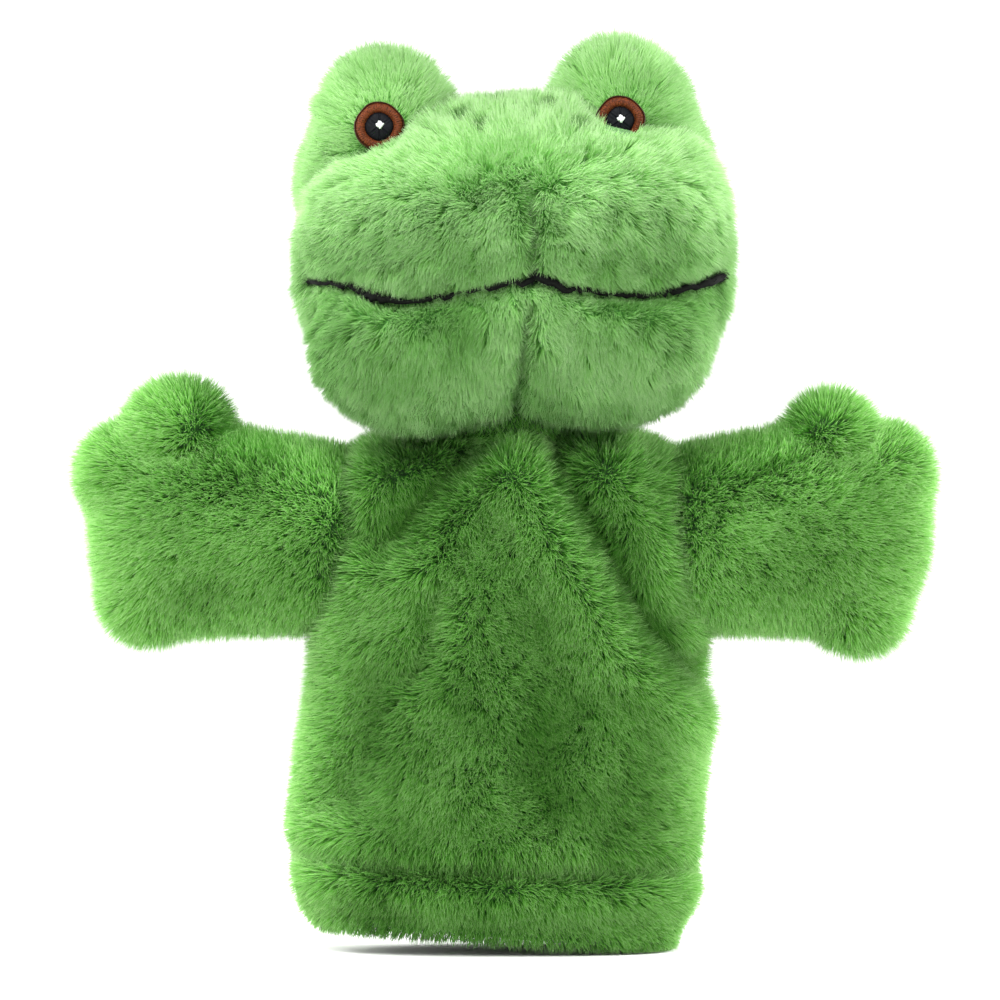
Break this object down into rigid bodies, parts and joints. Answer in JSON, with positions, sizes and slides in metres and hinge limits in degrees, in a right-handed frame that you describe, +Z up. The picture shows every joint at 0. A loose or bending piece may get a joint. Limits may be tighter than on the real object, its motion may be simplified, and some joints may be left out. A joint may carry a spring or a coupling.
{
  "type": "hand puppet",
  "caption": "Plush frog glove puppet: an open sleeve for the hand, finger arms with lobed paws and a stuffed head with raised eye mounds on a flexing neck.",
  "frame": {"origin": "centre of the hand opening, in the plane of the hem", "axes": "+Z up the sleeve to the head, the face looks along -Y, +X is the puppet's left side"},
  "size_m": [0.2432, 0.0895, 0.259],
  "materials": {
    "body_plush": "leaf green long-pile plush, combed down",
    "head_plush": "light green short-pile plush",
    "lining": "smooth dark green tricot lining",
    "stuffing": "white polyester fibre",
    "mouth_thread": "black embroidery yarn",
    "seam_thread": "green sewing thread",
    "iris_thread": "brown satin-stitch embroidery",
    "pupil_thread": "near-black satin-stitch embroidery",
    "highlight_thread": "white satin-stitch embroidery"
  },
  "bodies": {
    "sleeve": {"body_front_panel": "body_plush", "body_back_panel": "body_plush", "front_lining": "lining", "back_lining": "lining", "hem_stitching": "seam_thread"},
    "neck_collar": {"neck_collar": "body_plush"},
    "neck_ring": {"neck_gather_ring": "seam_thread"},
    "head": {"upper_face_panel": "head_plush", "left_chin_panel": "head_plush", "right_chin_panel": "head_plush", "left_head_back_panel": "head_plush", "right_head_back_panel": "head_plush", "head_base_panel": "head_plush", "finger_stall": "lining", "head_stuffing": "stuffing", "mouth_line": "mouth_thread", "lip_dimple_stitch": "seam_thread", "chin_dimple_stitch": "seam_thread", "left_eye_mound_front": "head_plush", "left_eye_mound_back": "head_plush", "left_eye_mound_stuffing": "stuffing", "left_iris": "iris_thread", "left_pupil": "pupil_thread", "left_eye_highlight": "highlight_thread", "right_eye_mound_front": "head_plush", "right_eye_mound_back": "head_plush", "right_eye_mound_stuffing": "stuffing", "right_iris": "iris_thread", "right_pupil": "pupil_thread", "right_eye_highlight": "highlight_thread"},
    "left_shoulder": {"left_shoulder_panel": "body_plush"},
    "left_arm": {"left_arm_front_panel": "body_plush", "left_arm_back_panel": "body_plush"},
    "right_shoulder": {"right_shoulder_panel": "body_plush"},
    "right_arm": {"right_arm_front_panel": "body_plush", "right_arm_back_panel": "body_plush"}
  },
  "joints": [
    {"name": "head_turn", "type": "hinge", "parent": "sleeve", "child": "neck_collar", "pos_m": [0, 0.003, 0.156], "axis": [0, 0, 1], "range_deg": [-20, 20], "stiffness_Nm_per_rad": 0.12},
    {"name": "head_tilt", "type": "hinge", "parent": "neck_collar", "child": "neck_ring", "pos_m": [0, 0.003, 0.156], "axis": [0, 1, 0], "range_deg": [-8, 8], "stiffness_Nm_per_rad": 0.12},
    {"name": "head_nod", "type": "hinge", "parent": "neck_ring", "child": "head", "pos_m": [0, 0.003, 0.156], "axis": [1, 0, 0], "range_deg": [-12, 12], "stiffness_Nm_per_rad": 0.12},
    {"name": "left_arm_lift", "type": "hinge", "parent": "sleeve", "child": "left_shoulder", "pos_m": [0.056, 0, 0.118], "axis": [0, 1, 0], "range_deg": [-15, 35], "stiffness_Nm_per_rad": 0.05},
    {"name": "left_arm_sweep", "type": "hinge", "parent": "left_shoulder", "child": "left_arm", "pos_m": [0.078, 0, 0.118], "axis": [0, 0, 1], "range_deg": [-60, 10], "stiffness_Nm_per_rad": 0.05},
    {"name": "right_arm_lift", "type": "hinge", "parent": "sleeve", "child": "right_shoulder", "pos_m": [-0.056, 0, 0.118], "axis": [0, 1, 0], "range_deg": [-35, 15], "stiffness_Nm_per_rad": 0.05},
    {"name": "right_arm_sweep", "type": "hinge", "parent": "right_shoulder", "child": "right_arm", "pos_m": [-0.078, 0, 0.118], "axis": [0, 0, 1], "range_deg": [-10, 60], "stiffness_Nm_per_rad": 0.05}
  ]
}
